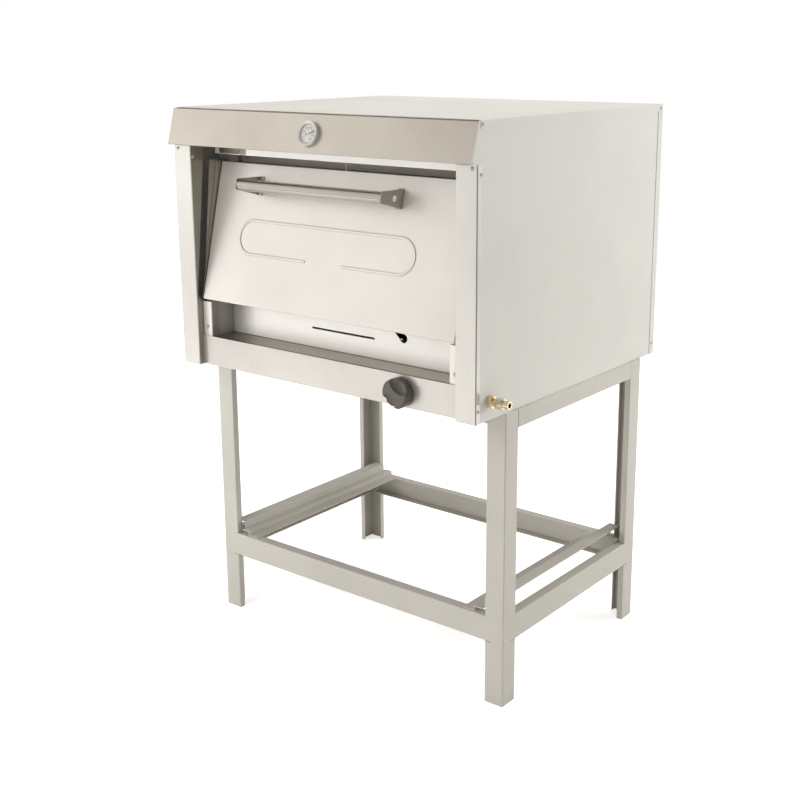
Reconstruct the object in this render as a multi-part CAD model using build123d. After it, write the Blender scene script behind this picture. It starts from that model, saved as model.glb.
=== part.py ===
"""Single-deck gas oven on an open sheet-metal stand.

Axes: +Z up, +X to the right, front towards -Y.  Lengths are millimetres.
The model is drawn with x = 0 on the cabinet's middle, y = 0 on the face of the front posts and
z = 0 on the floor.  save_all() then moves it so that the origin is under the middle of its bounding box.
"""
from build123d import *
import math
import os

os.makedirs("parts", exist_ok=True)

# ---------------------------------------------------------------- driving dimensions
CABINET_WIDTH = 850.0
CABINET_DEPTH = 750.0
CABINET_HEIGHT = 598.0
STAND_HEIGHT = 665.0

SHEET = 1.2                     # stainless sheet
SHELL_SHEET = 1.5               # painted sheet
SHEET_BEND = 1.8                # outer radius of folds in stainless sheet
SHELL_BEND = 1.9                # outer radius of folds in painted sheet
RUNNING_GAP = 0.05              # radial clearance of shafts and pins

HALF = CABINET_WIDTH / 2
BASE = STAND_HEIGHT
TOP = STAND_HEIGHT + CABINET_HEIGHT

# front posts
POST_WIDTH = 51.0
POST_HEIGHT = 513.0
POST_SIDE = 14.0                # width of the flange that wraps round the cabinet's side
POST_RETURN = 19.0              # width of the inner return beside the control panel
POST_RETURN_TOP = 40.0          # its width at the top
POST_RETURN_WAIST = 6.0         # its width beside the door's lower corner
WAIST_HEIGHT = 181.0

# sloping hood above the door
HOOD_TOP_Y = 3.0
HOOD_BOTTOM_Y = -19.0
HOOD_BOTTOM = BASE + 516.0
HOOD_TOP = TOP - 2.0
HOOD_RISE = HOOD_TOP - HOOD_BOTTOM
HOOD_LEAN = math.degrees(math.atan2(HOOD_TOP_Y - HOOD_BOTTOM_Y, HOOD_RISE))
HOOD_SLOPE = math.hypot(HOOD_TOP_Y - HOOD_BOTTOM_Y, HOOD_RISE)
HOOD_LIP = 9.0
HEADER_Y = 77.0
CLIP_LEFT = -357.0
CLIP_STEP = -293.0
CLIP_RIGHT = -273.5

# door
DOOR_HALF_WIDTH = 364.0
DOOR_BOTTOM_Y = 11.0
DOOR_BOTTOM = BASE + 159.0
DOOR_LEAN = 13.8                # degrees back from upright when shut
DOOR_SLOPE = 323.0              # height measured along the leaning face
DOOR_THICKNESS = 22.0
HINGE_INSET = 11.0              # hinge axis behind the face and above the lower edge
HINGE_PIN_RADIUS = 4.0
HANDLE_OFFSET = -25.0           # handle and bead stand left of the door's middle
HANDLE_LENGTH = 418.0
HANDLE_RADIUS = 13.0
HANDLE_STANDOFF = 58.5
HANDLE_HEIGHT = 267.0
HANDLE_FOOT_HEIGHT = 274.0      # the brackets' feet stand a little higher than the tube
BEAD_OFFSET = -17.5
BEAD_LENGTH = 512.0
BEAD_HEIGHT = 82.0
BEAD_WIDTH = 5.0
BEAD_RELIEF = 2.0
BEAD_CENTRE = 156.0
BEAD_GAP = 107.0
BEAD_GAP_OFFSET = 7.0           # the gap's middle, from the bead's middle

# lower front
PANEL_Y = 15.0
PANEL_HEIGHT = 70.0
LEDGE_TOP = BASE + 69.0
LEDGE_HOLE = (307.5, 69.5)
LEDGE_BACK_Y = 89.0
MOUTH_HALF = 347.0
LOWER_JAMB_Y = 19.0
LOWER_JAMB_TOP = BASE + 151.0
JAMB_X = 365.5                  # inner face of the cheeks beside the door
COVER_SLOT_LENGTH = 184.0
COVER_SLOT_HEIGHT = 4.5
COVER_SLOT_Z = BASE + 113.0
LIGHTING_HOLE_X = 173.0
LIGHTING_HOLE_Z = BASE + 125.0
LIGHTING_HOLE_RADIUS = 10.0

# chamber
DECK_TOP = BASE + 190.0
DECK_THICKNESS = 20.0
CHAMBER_CEILING = BASE + 466.0
CHAMBER_BACK = 690.0
STONE_COUNT = 3
STONE_GAP = 2.0

# gas train
KNOB_X = 225.0
KNOB_Z = BASE + 33.0
KNOB_RADIUS = 32.5
KNOB_THICKNESS = 21.0
KNOB_GAP = 5.0                  # between the knob's skirt and the panel, for its push travel
KNOB_HUB_RADIUS = 7.5
STEM_RADIUS = 4.0
STEM_FLAT = 2.6                 # the stem's flat above its axis
INLET_Y = 49.0
INLET_Z = BASE + 39.0
INLET_REACH = 48.0
INLET_NECK_RADIUS = 8.3
INLET_TAIL_RADIUS = 8.33        # male three-eighths pipe thread, without its ridges
INLET_BORE_RADIUS = 5.5
INLET_THREAD = 14.0
INLET_NUT_FLATS = 25.0
INLET_HEX_FLATS = 22.0
BURNER_RADIUS = 15.0
BURNER_Z = BASE + 105.0

# thermometer
DIAL_X = 4.0
DIAL_HEIGHT = 40.8              # centre above the hood's lower edge, along the slope
DIAL_RADIUS = 26.5
DIAL_PROUD = 9.0
FACE_RADIUS = 21.3
BULB_X = -5.0
BULB_Y = 118.0                  # the thermometer's bulb hangs just inside the chamber
BULB_RADIUS = 4.0
BULB_LENGTH = 50.0

# stand
STAND_HALF = 427.0
STAND_FRONT = 105.0
STAND_BACK = 683.0
LEG_FLANGE = 48.0
LEG_LIP = 14.0
LEG_SHEET = 2.5
BEND = 3.0                      # outer radius of the stand's folds
RAIL_LAP = 17.0
LOWER_RAIL_TOP = 202.0
LOWER_RAIL_HEIGHT = 58.0
TOP_RAIL_HEIGHT = 42.0
FRONT_TOP_RAIL = 30.0           # the front one is shallower and hides behind the control panel
RAIL_FLANGE = 25.0

SCREW_HEAD_RADIUS = 4.5
SCREW_HEAD_HEIGHT = 2.4
SCREW_SHANK_RADIUS = 2.0
SCREW_LENGTH = 8.0
SCREW_CLEARANCE = 0.1


def block(x0, x1, y0, y1, z0, z1):
    """Box between two opposite corners."""
    size = Box(x1 - x0, y1 - y0, z1 - z0)
    return Pos((x0 + x1) / 2, (y0 + y1) / 2, (z0 + z1) / 2) * size


def side_profile(points, x0, x1):
    """Outline drawn in the YZ plane, pulled from x0 to x1."""
    outline = make_face(Polyline(*[(x0, y, z) for y, z in points], close=True))
    return extrude(outline, amount=x1 - x0, dir=(1, 0, 0))


def front_profile(points, y0, y1):
    """Outline drawn in the XZ plane, pulled from y0 to y1."""
    outline = make_face(Polyline(*[(x, y0, z) for x, z in points], close=True))
    return extrude(outline, amount=y1 - y0, dir=(0, 1, 0))


def rod_x(x0, x1, y, z, radius):
    return Pos((x0 + x1) / 2, y, z) * Rot(0, 90, 0) * Cylinder(radius, x1 - x0)


def rod_y(y0, y1, x, z, radius):
    return Pos(x, (y0 + y1) / 2, z) * Rot(90, 0, 0) * Cylinder(radius, y1 - y0)


def mirrored(shape):
    """The same shape on the other side of the middle plane."""
    return mirror(shape, about=Plane.YZ)


def joined(first, *others):
    result = first
    for other in others:
        result = result + other
    return result


def grouped(shapes):
    """Separate solids that share one node."""
    return Compound([solid for shape in shapes for solid in shape.solids()])


def bent(shape, axis, radius, *corners):
    """Round the edges that run along an axis through the given corners.

    A corner is (y, z) for edges along X, (x, z) along Y and (x, y) along Z.
    """
    edges = []
    for edge in shape.edges().filter_by(axis):
        point = edge.center()
        across = {
            Axis.X: (point.Y, point.Z),
            Axis.Y: (point.X, point.Z),
            Axis.Z: (point.X, point.Y),
        }[axis]
        if any(math.dist(across, corner) < 0.01 for corner in corners):
            edges.append(edge)
    return fillet(edges, radius)


# ---------------------------------------------------------------- local frames
# Both frames have z up the slope, y straight back from the outer face, and x along the width.
DOOR_FRAME = Pos(0, DOOR_BOTTOM_Y, DOOR_BOTTOM) * Rot(-DOOR_LEAN, 0, 0)
HOOD_FRAME = Pos(0, HOOD_BOTTOM_Y, HOOD_BOTTOM) * Rot(-HOOD_LEAN, 0, 0)
DIAL_FRAME = HOOD_FRAME * Pos(DIAL_X, 0, DIAL_HEIGHT)


def door_plane_y(z, depth):
    """y at height z on the plane that lies the given depth behind the door's face."""
    lean = math.radians(DOOR_LEAN)
    return DOOR_BOTTOM_Y + (z - DOOR_BOTTOM) * math.tan(lean) + depth / math.cos(lean)


def behind_door(height, depth):
    """(y, z) of a point given along the door's slope and straight back from its face."""
    lean = math.radians(DOOR_LEAN)
    y = DOOR_BOTTOM_Y + height * math.sin(lean) + depth * math.cos(lean)
    z = DOOR_BOTTOM + height * math.cos(lean) - depth * math.sin(lean)
    return y, z


# ---------------------------------------------------------------- screws
def dome_screw():
    """Cross-head screw along -Z, its seat at z = 0."""
    cap_radius = (SCREW_HEAD_RADIUS ** 2 + SCREW_HEAD_HEIGHT ** 2) / (2 * SCREW_HEAD_HEIGHT)
    cap = Pos(0, 0, SCREW_HEAD_HEIGHT - cap_radius) * Sphere(cap_radius)
    head = cap & Pos(0, 0, SCREW_HEAD_HEIGHT / 2) * Cylinder(SCREW_HEAD_RADIUS, SCREW_HEAD_HEIGHT)
    slot = Box(5.0, 1.0, 2.4)
    cross = Pos(0, 0, SCREW_HEAD_HEIGHT) * (slot + Rot(0, 0, 90) * slot)
    shank = Pos(0, 0, -SCREW_LENGTH / 2) * Cylinder(SCREW_SHANK_RADIUS, SCREW_LENGTH)
    return (head - cross) + shank


TO_RIGHT = Rot(0, 90, 0)
TO_LEFT = Rot(0, -90, 0)
TO_FRONT = Rot(90, 0, 0)
TO_BACK = Rot(-90, 0, 0)

SIDE_SCREWS = [(17.0, BASE + 588.0), (12.0, BASE + 494.0), (8.0, BASE + 26.0),
               (738.0, BASE + 588.0), (738.0, BASE + 26.0)]
FRONT_SCREWS = [(413.0, BASE + 506.0)]
JAMB_SCREW = (360.0, BASE + 91.0)
RETURN_SCREW = (8.5, BASE + 488.0)
BACK_SCREWS = [(x, z) for x in (-380.0, 0.0, 380.0) for z in (BASE + 26.0, BASE + 560.0)]


def screw_places():
    """Every cabinet screw as a placed frame whose +Z points out of the seat."""
    places = []
    for side, turn in ((1, TO_RIGHT), (-1, TO_LEFT)):
        for y, z in SIDE_SCREWS:
            places.append(Pos(side * HALF, y, z) * turn)
        for x, z in FRONT_SCREWS:
            places.append(Pos(side * x, 0, z) * TO_FRONT)
        places.append(Pos(side * JAMB_SCREW[0], LOWER_JAMB_Y, JAMB_SCREW[1]) * TO_FRONT)
        inward = TO_LEFT if side > 0 else TO_RIGHT
        places.append(Pos(side * (HALF - POST_WIDTH), RETURN_SCREW[0], RETURN_SCREW[1]) * inward)
    for x, z in BACK_SCREWS:
        places.append(Pos(x, CABINET_DEPTH, z) * TO_BACK)
    return places


def drilled(shape):
    """The shape with clearance holes for every cabinet screw."""
    hole = Cylinder(SCREW_SHANK_RADIUS + SCREW_CLEARANCE, 2 * SCREW_LENGTH + 4)
    for place in screw_places():
        shape = shape - place * hole
    return shape


# ---------------------------------------------------------------- stand
def leg(side, front):
    """Folded angle with inward lips; its outer corner is on the stand's corner."""
    y_corner = STAND_FRONT if front else STAND_BACK
    along = 1 if front else -1

    def local_block(x0, x1, y0, y1, z0=0.0, z1=STAND_HEIGHT):
        xs = sorted(side * (STAND_HALF - x) for x in (x0, x1))
        ys = sorted(y_corner + along * y for y in (y0, y1))
        return block(xs[0], xs[1], ys[0], ys[1], z0, z1)

    face = local_block(0, LEG_FLANGE, 0, LEG_SHEET)
    cheek = local_block(0, LEG_SHEET, 0, LEG_FLANGE)
    face_lip = local_block(LEG_FLANGE - LEG_SHEET, LEG_FLANGE, 0, LEG_LIP)
    cheek_lip = local_block(0, LEG_LIP, LEG_FLANGE - LEG_SHEET, LEG_FLANGE)
    low, high = LOWER_RAIL_TOP - LOWER_RAIL_HEIGHT, LOWER_RAIL_TOP
    face_notch = local_block(LEG_FLANGE - RAIL_LAP, LEG_FLANGE + 1, -1, LEG_LIP + 1, low, high)
    cheek_notch = local_block(-1, LEG_LIP + 1, LEG_FLANGE - RAIL_LAP, LEG_FLANGE + 1, low, high)
    profile = joined(face, cheek, face_lip, cheek_lip)
    x_corner, x_edge = side * STAND_HALF, side * (STAND_HALF - LEG_FLANGE)
    y_edge = y_corner + along * LEG_FLANGE
    profile = bent(profile, Axis.Z, BEND, (x_corner, y_corner), (x_edge, y_corner), (x_corner, y_edge))
    return profile - face_notch - cheek_notch


def channel_x(x0, x1, y_outer, inward, z_low, z_high, flange):
    """C-channel along X with its web on the outside."""
    ys = sorted((y_outer, y_outer + inward * flange))
    web_ys = sorted((y_outer, y_outer + inward * LEG_SHEET))
    web = block(x0, x1, web_ys[0], web_ys[1], z_low, z_high)
    upper = block(x0, x1, ys[0], ys[1], z_high - LEG_SHEET, z_high)
    lower = block(x0, x1, ys[0], ys[1], z_low, z_low + LEG_SHEET)
    return bent(joined(web, upper, lower), Axis.X, BEND, (y_outer, z_low), (y_outer, z_high))


def channel_y(y0, y1, x_outer, inward, z_low, z_high, flange):
    """C-channel along Y with its web on the outside."""
    xs = sorted((x_outer, x_outer + inward * flange))
    web_xs = sorted((x_outer, x_outer + inward * LEG_SHEET))
    web = block(web_xs[0], web_xs[1], y0, y1, z_low, z_high)
    upper = block(xs[0], xs[1], y0, y1, z_high - LEG_SHEET, z_high)
    lower = block(xs[0], xs[1], y0, y1, z_low, z_low + LEG_SHEET)
    return bent(joined(web, upper, lower), Axis.Y, BEND, (x_outer, z_low), (x_outer, z_high))


def stand_rails():
    rails = {}
    lap = LEG_FLANGE - RAIL_LAP
    levels = (("lower_rail", lap, LOWER_RAIL_TOP - LOWER_RAIL_HEIGHT, LOWER_RAIL_TOP),
              ("top_rail", LEG_FLANGE, STAND_HEIGHT - TOP_RAIL_HEIGHT, STAND_HEIGHT))
    for name, end, low, high in levels:
        x_end = STAND_HALF - end
        y_ends = (STAND_FRONT + end, STAND_BACK - end)
        front_low = max(low, high - FRONT_TOP_RAIL) if name == "top_rail" else low
        rails[name + "_front"] = channel_x(-x_end, x_end, STAND_FRONT, 1, front_low, high, RAIL_FLANGE)
        rails[name + "_back"] = channel_x(-x_end, x_end, STAND_BACK, -1, low, high, RAIL_FLANGE)
        rails[name + "_left"] = channel_y(*y_ends, -STAND_HALF, 1, low, high, RAIL_FLANGE)
        rails[name + "_right"] = channel_y(*y_ends, STAND_HALF, -1, low, high, RAIL_FLANGE)
    return rails


RUNNER_INNER = 316.0            # inner edge of the runner's foot
RUNNER_FOOT = 31.0
RUNNER_STEP = 12.0
RUNNER_TREAD = 21.0
RUNNER_GUIDE = 19.0
RUNNER_CROWN = 28.0
RUNNER_SHEET = 2.0


def tray_runner():
    """Stepped runner on the right: foot, low web, tread, guide web and crown."""
    y0, y1 = STAND_FRONT + 6.0, STAND_BACK - 6.0
    t = RUNNER_SHEET
    x_web = RUNNER_INNER + RUNNER_FOOT
    x_guide = x_web + RUNNER_TREAD
    z0 = LOWER_RAIL_TOP
    z1 = z0 + RUNNER_STEP
    z2 = z1 + RUNNER_GUIDE
    foot = block(RUNNER_INNER, x_web, y0, y1, z0, z0 + t)
    web = block(x_web - t, x_web, y0, y1, z0, z1)
    tread = block(x_web - t, x_guide, y0, y1, z1 - t, z1)
    inner_y0, inner_y1 = STAND_FRONT + LEG_LIP + 2.0, STAND_BACK - LEG_LIP - 2.0
    guide = block(x_guide - t, x_guide, inner_y0, inner_y1, z1 - t, z2)
    crown = block(x_guide - t, x_guide + RUNNER_CROWN, inner_y0, inner_y1, z2 - t, z2)
    runner = joined(foot, web, tread, guide, crown)
    return bent(runner, Axis.Y, RUNNER_SHEET, (x_web - t, z1), (x_guide - t, z2))


# ---------------------------------------------------------------- cabinet shell
FOOT_FLANGE = 22.0
CHEEK_GAP = 2.0                 # open joint between the hood's end and the side panel's nose


def side_panel(has_inlet):
    """Right side sheet with a nose under the hood and a foot flange."""
    outer = HALF - SHEET
    behind_hood = SHEET + CHEEK_GAP
    outline = [(SHEET, BASE), (CABINET_DEPTH - SHELL_SHEET, BASE),
               (CABINET_DEPTH - SHELL_SHEET, TOP - SHELL_SHEET), (HOOD_TOP_Y + 8.0, TOP - SHELL_SHEET),
               (HOOD_TOP_Y + behind_hood, HOOD_TOP - SHEET),
               (HOOD_BOTTOM_Y + behind_hood, HOOD_BOTTOM + SHEET), (SHEET, HOOD_BOTTOM + SHEET)]
    sheet = side_profile(outline, outer - SHELL_SHEET, outer)
    foot = block(outer - FOOT_FLANGE, outer, 60.0, CABINET_DEPTH - 4.0, BASE, BASE + SHELL_SHEET)
    panel = drilled(sheet + foot)
    if has_inlet:
        panel = panel - rod_x(outer - 10, outer + 10, INLET_Y, INLET_Z, INLET_NECK_RADIUS + 0.5)
    return panel


COVER_FRONT_Y = 12.0
COVER_LIP = 17.0


def top_cover():
    t = SHELL_SHEET
    sheet = block(-HALF, HALF, COVER_FRONT_Y, CABINET_DEPTH, TOP - t, TOP)
    lips = [block(x0, x0 + SHEET, COVER_FRONT_Y, CABINET_DEPTH, TOP - COVER_LIP, TOP)
            for x0 in (-HALF, HALF - SHEET)]
    back_lip = block(-HALF, HALF, CABINET_DEPTH - SHEET, CABINET_DEPTH, TOP - COVER_LIP, TOP)
    cover = joined(sheet, *lips, back_lip)
    cover = bent(cover, Axis.Y, SHELL_BEND, (-HALF, TOP), (HALF, TOP))
    return drilled(bent(cover, Axis.X, SHELL_BEND, (CABINET_DEPTH, TOP)))


def back_panel():
    outer = CABINET_DEPTH - SHEET
    inner = HALF - SHEET - SHELL_SHEET
    sheet = block(-inner, inner, outer - SHELL_SHEET, outer, BASE, TOP - SHELL_SHEET)
    edges = [block(-HALF, -HALF + SHEET, outer - 20, outer, BASE, TOP - COVER_LIP - 1),
             block(HALF - SHEET, HALF, outer - 20, outer, BASE, TOP - COVER_LIP - 1)]
    skin = block(-HALF, HALF, outer, CABINET_DEPTH, BASE, TOP - COVER_LIP - 1)
    panel = bent(joined(sheet, skin, *edges), Axis.Z, SHEET_BEND,
                 (-HALF, CABINET_DEPTH), (HALF, CABINET_DEPTH))
    for column in range(-2, 3):
        for row in range(2):
            slot = block(-30, 30, CABINET_DEPTH - 10, CABINET_DEPTH + 5, -3, 3)
            panel = panel - Pos(column * 110.0, 0, BASE + 500.0 + row * 18.0) * slot
    return drilled(panel)


def bottom_panel():
    inner = HALF - SHEET - FOOT_FLANGE - 0.5
    sheet = block(-inner, inner, 28.0, CABINET_DEPTH - SHEET - SHELL_SHEET, BASE, BASE + SHELL_SHEET)
    for column in range(-3, 4):
        slot = block(-35, 35, 300, 308, BASE - 5, BASE + 5)
        for row in range(3):
            sheet = sheet - Pos(column * 90.0, row * 90.0, 0) * slot
    return sheet


def front_post():
    """Right post: face, side flange with a notch, and an inner return cut to clear the door."""
    inner = HALF - POST_WIDTH
    top = BASE + POST_HEIGHT
    face = block(inner, HALF, 0, SHEET, BASE, top)
    flange = block(HALF - SHEET, HALF, 0, POST_SIDE, BASE, top)
    notch = block(HALF - 5, HALF + 5, 3.0, 9.0, BASE + 42.0, BASE + 62.0)
    outline = [(0, BASE), (POST_RETURN, BASE), (POST_RETURN, BASE + 158.0),
               (POST_RETURN_WAIST, BASE + 166.0), (POST_RETURN_WAIST, BASE + WAIST_HEIGHT),
               (POST_RETURN_TOP, top - 12.0), (POST_RETURN_TOP, top), (0, top)]
    inner_return = side_profile(outline, inner, inner + SHEET)
    post = bent(joined(face, flange, inner_return), Axis.Z, SHEET_BEND, (HALF, 0), (inner, 0))
    return drilled(post - notch)


def hood_fascia():
    t = SHEET
    sloped = HOOD_FRAME * block(-HALF, HALF, 0, t, 0, HOOD_SLOPE)
    hole = DIAL_FRAME * Rot(90, 0, 0) * Cylinder(4.0, 20)
    lip = block(-HALF, HALF, HOOD_BOTTOM_Y, HOOD_BOTTOM_Y + HOOD_LIP, HOOD_BOTTOM, HOOD_BOTTOM + t)
    crown = block(-HALF, HALF, HOOD_TOP_Y, 40.0, HOOD_TOP - t, HOOD_TOP - 0.1)
    notches = [block(x - 14.0, x + 14.0, HOOD_TOP_Y + 1.6, 60.0, HOOD_TOP - 5, HOOD_TOP + 5)
               for x in (-HALF, HALF)]
    crown = crown - notches[0] - notches[1]
    hood = bent(joined(sloped, lip, crown), Axis.X, 1.0, (HOOD_BOTTOM_Y, HOOD_BOTTOM))
    return hood - hole


def front_header():
    """Upright sheet over the door, with a lower and an upper return."""
    half = HALF - POST_WIDTH - 0.5
    low = BASE + 491.0
    face = block(-half, half, HEADER_Y, HEADER_Y + SHEET, low, TOP - 6.0)
    lower = block(-half, half, HEADER_Y, HEADER_Y + 18.0, low, low + SHEET)
    upper = block(-half, half, HEADER_Y, HEADER_Y + 18.0, TOP - 6.0 - SHEET, TOP - 6.0)
    stem_hole = DIAL_FRAME * Pos((BULB_X - DIAL_X) / 2, 90, 0) * Rot(90, 0, 0) * Cylinder(8.0, 60)
    return joined(face, lower, upper) - stem_hole


def header_clip():
    """Stepped strap on the header's left end that holds it to the cheek."""
    front = HEADER_Y - 0.2
    low = BASE + 492.5
    wide = block(CLIP_LEFT, CLIP_STEP, front - 2.4, front, low, low + 26.0)
    narrow = block(CLIP_STEP - 12.0, CLIP_RIGHT, front - 1.2, front, low, low + 26.0)
    return wide + narrow


def control_panel():
    half = HALF - POST_WIDTH - 0.3
    top = BASE + PANEL_HEIGHT
    face = block(-half, half, PANEL_Y, PANEL_Y + SHEET, BASE, top)
    lower = block(-half, half, PANEL_Y, PANEL_Y + 12.0, BASE, BASE + SHEET)
    panel = bent(face + lower, Axis.X, SHEET_BEND, (PANEL_Y, BASE))
    stem_hole = rod_y(PANEL_Y - 2, PANEL_Y + 6, KNOB_X, KNOB_Z, KNOB_HUB_RADIUS + 1.5)
    return panel - stem_hole


def ledge_tray():
    """Shallow tray between the control panel and the burner cover."""
    half = HALF - POST_WIDTH - 1.0
    front = PANEL_Y + SHEET
    top = BASE + PANEL_HEIGHT
    floor = block(-half, half, front, LEDGE_BACK_Y, LEDGE_TOP - SHEET, LEDGE_TOP)
    hem = block(-half, half, front, front + SHEET, LEDGE_TOP - 12.0, LEDGE_TOP)
    tray = bent(floor + hem, Axis.X, 1.0, (front, LEDGE_TOP))
    return tray - Pos(*LEDGE_HOLE, LEDGE_TOP) * Cylinder(2.5, 10)


def lower_jamb():
    """Right corner piece under the door: front flange and two overlapping side walls."""
    floor = LEDGE_TOP
    flange = block(MOUTH_HALF, HALF - POST_WIDTH - 1.0, LOWER_JAMB_Y, LOWER_JAMB_Y + SHEET,
                   floor, LOWER_JAMB_TOP)
    wall = block(MOUTH_HALF, MOUTH_HALF + SHEET, LOWER_JAMB_Y, 54.0, floor, LOWER_JAMB_TOP)
    inner_wall = block(MOUTH_HALF - SHEET, MOUTH_HALF, 50.0, LEDGE_BACK_Y, floor, LOWER_JAMB_TOP)
    lip = block(MOUTH_HALF, JAMB_X - 0.3, LOWER_JAMB_Y, 41.0 + SHEET, LOWER_JAMB_TOP - SHEET, LOWER_JAMB_TOP)
    backing = block(MOUTH_HALF, JAMB_X - 0.3, 41.0, 41.0 + SHEET, floor, BASE + 178.0)
    return drilled(joined(flange, lip, wall, inner_wall, backing))


def jamb():
    """Right cheek beside the door, an outer and an inner sheet."""
    outer_outline = [(21.0, BASE + 154.0), (21.0, BASE + 190.0), (51.0, BASE + 478.0),
                     (110.0, BASE + 478.0), (110.0, BASE + 154.0)]
    foot_y, foot_z = behind_door(4.0, 0.0)
    top_y, top_z = behind_door(DOOR_SLOPE - 2.0, -17.0)
    inner_outline = [(foot_y, foot_z), (top_y, top_z), (108.0, top_z), (108.0, foot_z)]
    outer = side_profile(outer_outline, JAMB_X + SHEET, JAMB_X + 2 * SHEET)
    inner = side_profile(inner_outline, JAMB_X, JAMB_X + SHEET)
    pin_y, pin_z = behind_door(HINGE_INSET, HINGE_INSET)
    pin_hole = rod_x(JAMB_X - 5, JAMB_X + 5, pin_y, pin_z, HINGE_PIN_RADIUS + RUNNING_GAP)
    return joined(outer, inner) - pin_hole


FRAME_DEPTH = DOOR_THICKNESS - 0.5      # behind the door's face
FRAME_LOW = 30.0
FRAME_HIGH = DOOR_SLOPE - 2.0
MOUTH_LOW = 40.0
MOUTH_HIGH = 298.0


def mouth_frame():
    """Sloping frame that the door shuts against, with a sill that runs back to the deck."""
    half = JAMB_X - 0.5
    plate = block(-half, half, FRAME_DEPTH, FRAME_DEPTH + SHEET, FRAME_LOW, FRAME_HIGH)
    opening = block(-MOUTH_HALF + 12, MOUTH_HALF - 12, 0, 60, MOUTH_LOW, MOUTH_HIGH)
    sloped = DOOR_FRAME * (plate - opening)
    sill_y, sill_z = behind_door(MOUTH_LOW, FRAME_DEPTH)
    sill = block(-MOUTH_HALF + 12, MOUTH_HALF - 12, sill_y, LEDGE_BACK_Y + 4.0,
                 sill_z - SHEET, sill_z)
    return joined(sloped, sill)


def burner_cover():
    """Upright plate in front of the burners with a sight slot and a lighting hole."""
    half = MOUTH_HALF - SHEET - 0.3
    low = LEDGE_TOP - 8.0
    sill_z = behind_door(MOUTH_LOW, FRAME_DEPTH)[1]
    plate = block(-half, half, LEDGE_BACK_Y, LEDGE_BACK_Y + SHEET, low, sill_z - SHEET)
    slot = block(-COVER_SLOT_LENGTH / 2, COVER_SLOT_LENGTH / 2, LEDGE_BACK_Y - 5, LEDGE_BACK_Y + 5,
                 COVER_SLOT_Z - COVER_SLOT_HEIGHT / 2, COVER_SLOT_Z + COVER_SLOT_HEIGHT / 2)
    hole = rod_y(LEDGE_BACK_Y - 5, LEDGE_BACK_Y + 5, LIGHTING_HOLE_X, LIGHTING_HOLE_Z,
                 LIGHTING_HOLE_RADIUS)
    r = LIGHTING_HOLE_RADIUS
    tail = front_profile([(LIGHTING_HOLE_X - 2.4 * r, LIGHTING_HOLE_Z + 1.1 * r),
                          (LIGHTING_HOLE_X + 0.3 * r, LIGHTING_HOLE_Z + 0.95 * r),
                          (LIGHTING_HOLE_X - 0.7 * r, LIGHTING_HOLE_Z - 0.7 * r)],
                         LEDGE_BACK_Y - 5, LEDGE_BACK_Y + 5)
    return plate - slot - hole - tail


# ---------------------------------------------------------------- chamber
CHAMBER_START = FRAME_DEPTH + SHEET + 0.3      # depth behind the door's face


def chamber_wall():
    """Right chamber wall; it runs down beside the burners."""
    top = CHAMBER_CEILING
    shelf_z = behind_door(MOUTH_LOW, FRAME_DEPTH)[1] + 2.0
    back_of_cover = LEDGE_BACK_Y + SHEET + 0.5
    outline = [(back_of_cover, BASE + 8.0), (CHAMBER_BACK, BASE + 8.0), (CHAMBER_BACK, top),
               (door_plane_y(top, CHAMBER_START), top), (door_plane_y(shelf_z, CHAMBER_START), shelf_z),
               (back_of_cover, shelf_z)]
    return side_profile(outline, MOUTH_HALF, MOUTH_HALF + SHELL_SHEET)


def chamber_ceiling():
    front = door_plane_y(CHAMBER_CEILING, CHAMBER_START)
    edge = MOUTH_HALF + SHELL_SHEET + 12.0
    sheet = block(-edge, edge, front, CHAMBER_BACK + 12.0, CHAMBER_CEILING,
                  CHAMBER_CEILING + SHELL_SHEET)
    bulb_hole = Pos(BULB_X, BULB_Y, CHAMBER_CEILING) * Cylinder(BULB_RADIUS + 1.0, 10)
    return sheet - bulb_hole


def chamber_back():
    edge = MOUTH_HALF + SHELL_SHEET
    return block(-edge, edge, CHAMBER_BACK, CHAMBER_BACK + SHELL_SHEET, BASE + 8.0, CHAMBER_CEILING)


DECK_RAIL = 18.0


def deck_rails():
    """Two angle rails under the stones."""
    top = DECK_TOP - DECK_THICKNESS
    wall = block(MOUTH_HALF - SHELL_SHEET, MOUTH_HALF, LEDGE_BACK_Y + 8.0, CHAMBER_BACK - 1.0,
                 top - DECK_RAIL, top)
    shelf = block(MOUTH_HALF - DECK_RAIL, MOUTH_HALF, LEDGE_BACK_Y + 8.0, CHAMBER_BACK - 1.0,
                  top - 2.0, top)
    right = wall + shelf
    middle = block(-6, 6, LEDGE_BACK_Y + 8.0, CHAMBER_BACK, top - 14.0, top)
    return grouped([right, mirrored(right), Pos(-114, 0, 0) * middle, Pos(114, 0, 0) * middle])


def deck_stones():
    span = 2 * (MOUTH_HALF - 2.0)
    width = (span - (STONE_COUNT - 1) * STONE_GAP) / STONE_COUNT
    stones = []
    for index in range(STONE_COUNT):
        x0 = -span / 2 + index * (width + STONE_GAP)
        stone = block(x0, x0 + width, LEDGE_BACK_Y + 6.0, CHAMBER_BACK - 3.0,
                      DECK_TOP - DECK_THICKNESS, DECK_TOP)
        stones.append(chamfer(stone.edges().filter_by(Axis.Z), 2.0))
    return grouped(stones)


def insulation_walls():
    x0, x1 = MOUTH_HALF + SHELL_SHEET + 1.0, HALF - 14.0
    side = block(x0, x1, 124.0, CHAMBER_BACK + 8.0, BASE + 40.0, TOP - 20.0)
    side = side - block(x0 - 5, x0 + 13.0, 100, CHAMBER_BACK + 20, CHAMBER_CEILING - 2,
                        CHAMBER_CEILING + 4)
    rear = block(-x0, x0, CHAMBER_BACK + SHELL_SHEET + 12.0, CABINET_DEPTH - 14.0,
                 BASE + 40.0, TOP - 20.0)
    return grouped([side, mirrored(side), rear])


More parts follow.
